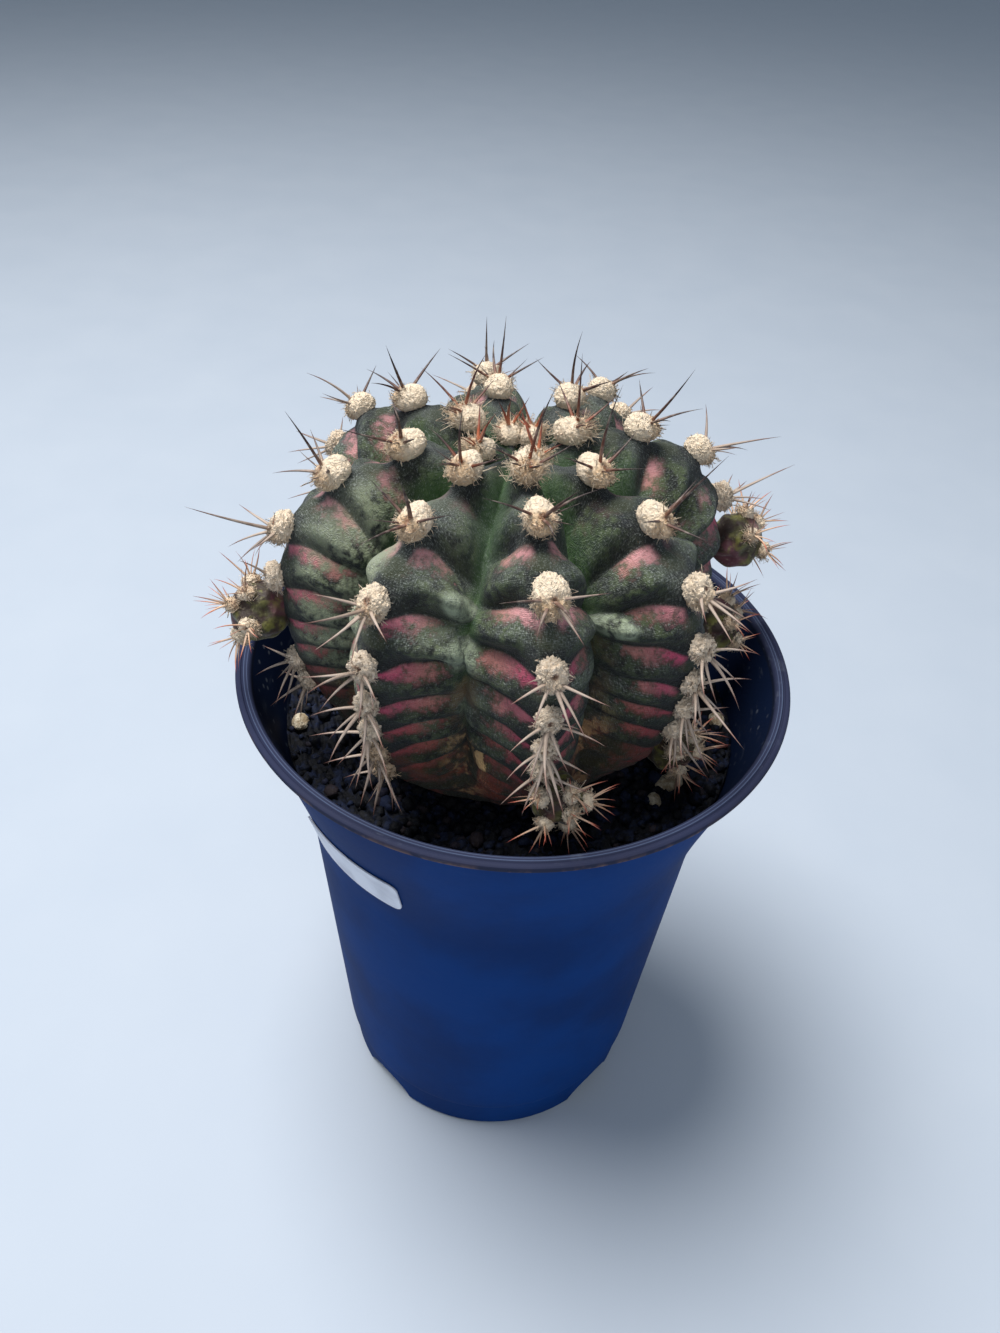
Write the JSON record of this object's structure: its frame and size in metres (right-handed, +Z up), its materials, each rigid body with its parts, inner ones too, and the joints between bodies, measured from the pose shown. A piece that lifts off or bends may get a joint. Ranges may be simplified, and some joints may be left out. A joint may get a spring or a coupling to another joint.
{
  "type": "potted globe cactus",
  "caption": "Ribbed globe cactus with wool tufts, spines and small offset heads, growing in soil in a tapered plastic nursery pot with a rolled rim.",
  "frame": {"origin": "centre of the pot's flat underside", "axes": "+Z up along the pot's axis; -Y is the side that the picture shows"},
  "size_m": [0.0875, 0.085, 0.1486],
  "materials": {
    "pot_plastic": "satin navy moulded plastic, slightly dusty rim",
    "label": "blank matt strip",
    "potting_soil": "damp dark granules",
    "grit": "rough pale grit",
    "cactus_skin": "velvety dark green and rose bands, cream wool, brown horny spines",
    "offset_skin": "olive brown skin, cream wool, pale spines with reddish tips"
  },
  "bodies": {
    "root": {"pot": "pot_plastic", "label_strip": "label", "soil": "potting_soil", "grit_left": "grit", "grit_right": "grit", "grit_front": "grit", "grit_front_small": "grit", "cactus": "cactus_skin", "offset_front": "offset_skin", "offset_left": "offset_skin", "offset_right": "offset_skin", "offset_right_side": "offset_skin", "offset_right_front": "offset_skin"}
  },
  "joints": []
}
